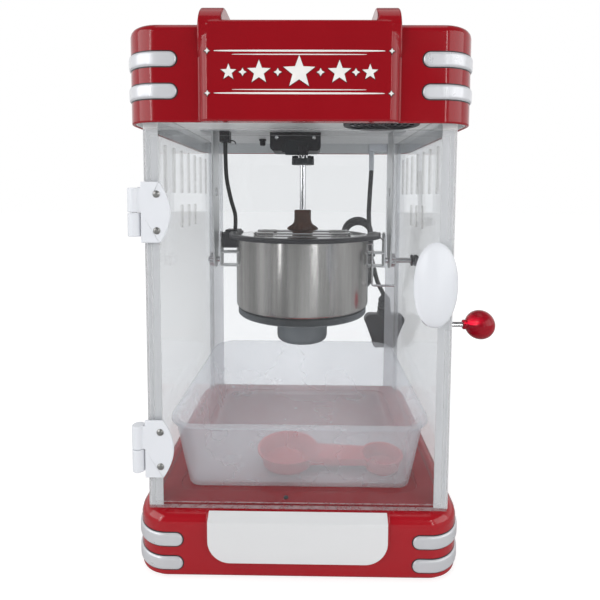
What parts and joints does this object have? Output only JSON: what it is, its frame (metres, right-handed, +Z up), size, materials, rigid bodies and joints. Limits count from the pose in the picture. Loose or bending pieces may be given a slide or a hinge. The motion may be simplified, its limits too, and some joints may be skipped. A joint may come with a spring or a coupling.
{
  "type": "popcorn maker",
  "caption": "Table-top kettle popcorn machine: clear cabinet with a hinged door, tilting steel kettle with geared stirrer and lid flaps, lift-out tub and double scoop.",
  "frame": {"origin": "middle of the footprint on the table, in the plane of the base rim and feet", "axes": "+Z up; the door and the front face -Y; +X to the right of someone facing the door"},
  "size_m": [0.3631, 0.3105, 0.4765],
  "materials": {
    "red_gloss": "deep glossy red",
    "red_ball": "glossy red",
    "scoop_red": "red moulded plastic",
    "silver_band": "silver-coloured trim",
    "bright_steel": "brushed",
    "polished_steel": "polished",
    "post_grey": "satin",
    "clear_plastic": "clear sheet",
    "frosted": "translucent, slightly frosted",
    "white_plastic": "smooth",
    "white_sheet": "satin",
    "black_plastic": "satin",
    "grey_black": "satin",
    "brown_plastic": "dull",
    "rubber": "matt",
    "brass": "plain"
  },
  "bodies": {
    "cabinet": {"base_shell": "red_gloss", "base_bands": "silver_band", "nameplate": "silver_band", "bottom_plate": "black_plastic", "feet": "rubber", "cabinet_floor": "red_gloss", "front_posts": "post_grey", "rear_posts": "post_grey", "side_panels": "clear_plastic", "back_panel": "clear_plastic", "ceiling_plate": "white_sheet", "ceiling_vent": "black_plastic", "head_shell": "red_gloss", "head_bands": "silver_band", "motor_housing": "black_plastic", "gear_bracket": "grey_black", "hanger_straps": "bright_steel", "lever_bush": "black_plastic", "switch_bezel": "black_plastic", "cord_gland": "white_plastic", "cable_clip": "black_plastic", "body_hinge_leaves": "white_plastic", "hinge_pins": "polished_steel", "body_screws": "polished_steel", "mains_cord": "rubber", "cord_hank": "rubber", "cord_tie": "black_plastic", "mains_plug": "black_plastic", "plug_pins": "brass"},
    "door": {"door_panel": "clear_plastic", "door_hinge_leaves": "white_plastic", "door_screws": "polished_steel", "door_knob": "white_plastic"},
    "kettle": {"kettle_pot": "bright_steel", "lid_bridge": "bright_steel", "shaft_bush": "brown_plastic", "rim_handle": "black_plastic", "heater_housing": "grey_black", "heater_cap": "grey_black", "kettle_ears": "bright_steel", "left_pivot": "polished_steel", "thumb_nuts": "polished_steel", "dump_lever": "polished_steel", "lever_ball": "red_ball", "hook_wire": "polished_steel", "flap_pins": "polished_steel", "heater_cable": "rubber"},
    "stirrer": {"stirrer_rod": "polished_steel", "rod_gear": "grey_black", "stirring_wire": "polished_steel"},
    "drive": {"drive_gear": "black_plastic"},
    "front_flap": {"lid_front": "bright_steel"},
    "back_flap": {"lid_back": "bright_steel"},
    "tub": {"popcorn_tub": "frosted"},
    "scoop": {"scoop": "scoop_red"},
    "switch": {"switch_rocker": "grey_black"}
  },
  "joints": [
    {"name": "door_hinge", "type": "hinge", "parent": "cabinet", "child": "door", "pos_m": [-0.1358, -0.128, 0.2], "axis": [0, 0, -1], "range_deg": [0, 115]},
    {"name": "kettle_tilt", "type": "hinge", "parent": "cabinet", "child": "kettle", "pos_m": [0, 0.012, 0.2535], "axis": [1, 0, 0], "range_deg": [0, 100], "deforming": ["heater_cable"]},
    {"name": "drive_spin", "type": "hinge", "parent": "cabinet", "child": "drive", "pos_m": [0, 0.002, 0.3756], "axis": [0, 1, 0], "continuous": true},
    {"name": "stirrer_spin", "type": "hinge", "parent": "kettle", "child": "stirrer", "pos_m": [0, 0.012, 0.3], "axis": [0, 0, 1], "continuous": true},
    {"name": "front_flap_hinge", "type": "hinge", "parent": "kettle", "child": "front_flap", "pos_m": [0, -0.0075, 0.2843], "axis": [-1, 0, 0], "range_deg": [0, 75]},
    {"name": "back_flap_hinge", "type": "hinge", "parent": "kettle", "child": "back_flap", "pos_m": [0, 0.0315, 0.2843], "axis": [1, 0, 0], "range_deg": [0, 75]},
    {"name": "tub_lift", "type": "slide", "parent": "cabinet", "child": "tub", "axis": [0, 0, 1], "range_m": [0, 0.015]},
    {"name": "scoop_lift", "type": "slide", "parent": "tub", "child": "scoop", "axis": [0, 0, 1], "range_m": [0, 0.035]},
    {"name": "switch_rock", "type": "hinge", "parent": "cabinet", "child": "switch", "pos_m": [-0.07, 0.133, 0.428], "axis": [1, 0, 0], "range_deg": [0, 12]}
  ],
  "couplings": [
    {"joint": "drive_spin", "follows": "stirrer_spin", "ratio": -1.5}
  ]
}
